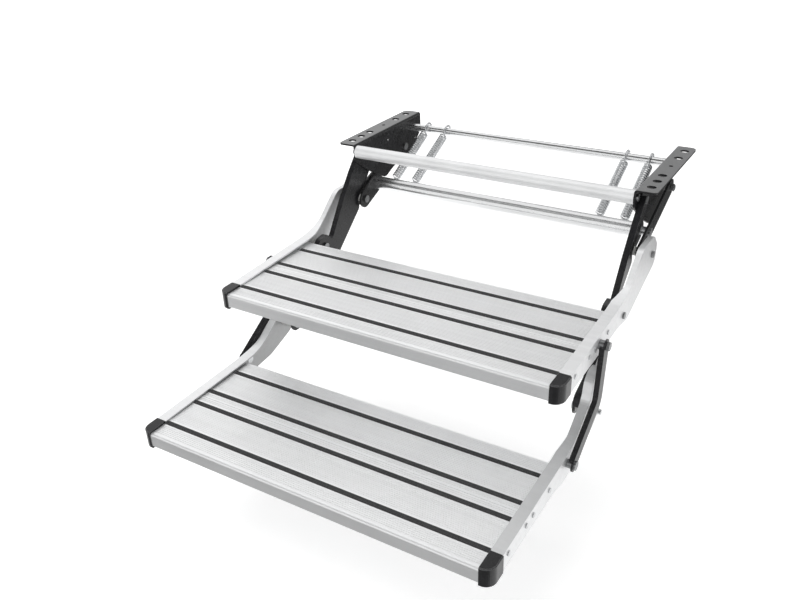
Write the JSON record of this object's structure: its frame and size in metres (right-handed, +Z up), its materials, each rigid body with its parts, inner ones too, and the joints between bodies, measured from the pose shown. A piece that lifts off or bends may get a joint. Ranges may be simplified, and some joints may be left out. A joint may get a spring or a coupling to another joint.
{
  "type": "caravan entry step",
  "caption": "Folding entry step with an upper and a lower ribbed aluminium tread, bent side panels, swinging steel arms, cross tubes, tension springs and slotted mounting brackets.",
  "frame": {"origin": "middle of the outer rectangle of mounting slots, on the top face of the brackets' flanges, where they meet the vehicle's underside", "axes": "+Z up, out of the mounting faces; +Y toward the vehicle, so the treads reach out along -Y; +X across the step, to the right of someone facing the vehicle"},
  "size_m": [0.586, 0.7631, 0.3064],
  "materials": {
    "black_steel": "semi-gloss black powder coat",
    "tread_aluminium": "satin anodised, finely ribbed along its length",
    "panel_aluminium": "satin anodised",
    "tube_aluminium": "smooth bright anodised",
    "zinc_steel": "bright zinc plate",
    "black_plastic": "moulded, slightly glossy",
    "grip_rubber": "matte rubber with fine grooves"
  },
  "bodies": {
    "frame": {"bracket_left": "black_steel", "bracket_right": "black_steel", "front_cross_tube": "tube_aluminium", "front_tube_screws": "zinc_steel", "spring_rod": "zinc_steel", "spring_rod_clips": "zinc_steel", "rear_arm_bolts": "zinc_steel", "rear_arm_spacers": "zinc_steel", "front_arm_bolt_heads": "zinc_steel"},
    "rear_arms": {"rear_arm_left": "black_steel", "rear_arm_right": "black_steel", "tube_lug_left": "black_steel", "tube_lug_right": "black_steel", "lower_cross_tube": "tube_aluminium", "tube_bolts": "zinc_steel", "step_pivot_bolts": "zinc_steel", "lug_spacers": "zinc_steel"},
    "springs": {"spring_left_outer": "zinc_steel", "spring_left_inner": "zinc_steel", "spring_right_inner": "zinc_steel", "spring_right_outer": "zinc_steel"},
    "upper_step": {"upper_plank_front": "tread_aluminium", "upper_plank_rear": "tread_aluminium", "upper_side_left": "panel_aluminium", "upper_side_right": "panel_aluminium", "upper_cap_left": "black_plastic", "upper_cap_right": "black_plastic", "upper_grips": "grip_rubber", "upper_screws": "zinc_steel", "front_arm_pivots": "zinc_steel", "upper_bushes": "zinc_steel", "link_top_pivots": "zinc_steel"},
    "front_arms": {"front_arm_left": "black_steel", "front_arm_right": "black_steel", "front_arm_nuts": "zinc_steel"},
    "lower_step": {"lower_plank_front": "tread_aluminium", "lower_plank_rear": "tread_aluminium", "lower_side_left": "panel_aluminium", "lower_side_right": "panel_aluminium", "lower_cap_left": "black_plastic", "lower_cap_right": "black_plastic", "lower_grips": "grip_rubber", "lower_screws": "zinc_steel", "lower_pivots": "zinc_steel", "lower_bushes": "zinc_steel", "link_foot_heads": "zinc_steel"},
    "outer_links": {"link_left": "black_steel", "link_right": "black_steel", "link_foot_rivets": "zinc_steel"}
  },
  "joints": [
    {"name": "fold", "type": "hinge", "parent": "frame", "child": "rear_arms", "pos_m": [0, 0.05359, -0.0502], "axis": [1, 0, 0], "range_deg": [0, 145], "deforming": ["spring_left_outer", "spring_left_inner", "spring_right_inner", "spring_right_outer"]},
    {"name": "step_level", "type": "hinge", "parent": "rear_arms", "child": "upper_step", "pos_m": [0, -0.09405, -0.105], "axis": [1, 0, 0], "range_deg": [-145, 0]},
    {"name": "front_arm_swing", "type": "hinge", "parent": "upper_step", "child": "front_arms", "pos_m": [0, -0.21604, -0.1515], "axis": [1, 0, 0], "range_deg": [0, 105]},
    {"name": "lower_level", "type": "hinge", "parent": "front_arms", "child": "lower_step", "pos_m": [0, -0.31562, -0.25571], "axis": [1, 0, 0], "range_deg": [-105, 0]},
    {"name": "link_swing", "type": "hinge", "parent": "upper_step", "child": "outer_links", "pos_m": [0, -0.31905, -0.1445], "axis": [1, 0, 0], "range_deg": [0, 87.4]},
    {"name": "spring_swing", "type": "hinge", "parent": "frame", "child": "springs", "pos_m": [0, 0.08614, -0.0215], "axis": [1, 0, 0], "range_deg": [0, 116.7]}
  ],
  "couplings": [
    {"joint": "step_level", "follows": "fold", "ratio": -1},
    {"joint": "front_arm_swing", "follows": "fold", "ratio": 0.72414},
    {"joint": "lower_level", "follows": "fold", "ratio": -0.72414},
    {"joint": "link_swing", "follows": "fold", "ratio": 0.60276},
    {"joint": "spring_swing", "follows": "fold", "ratio": 0.80462}
  ]
}
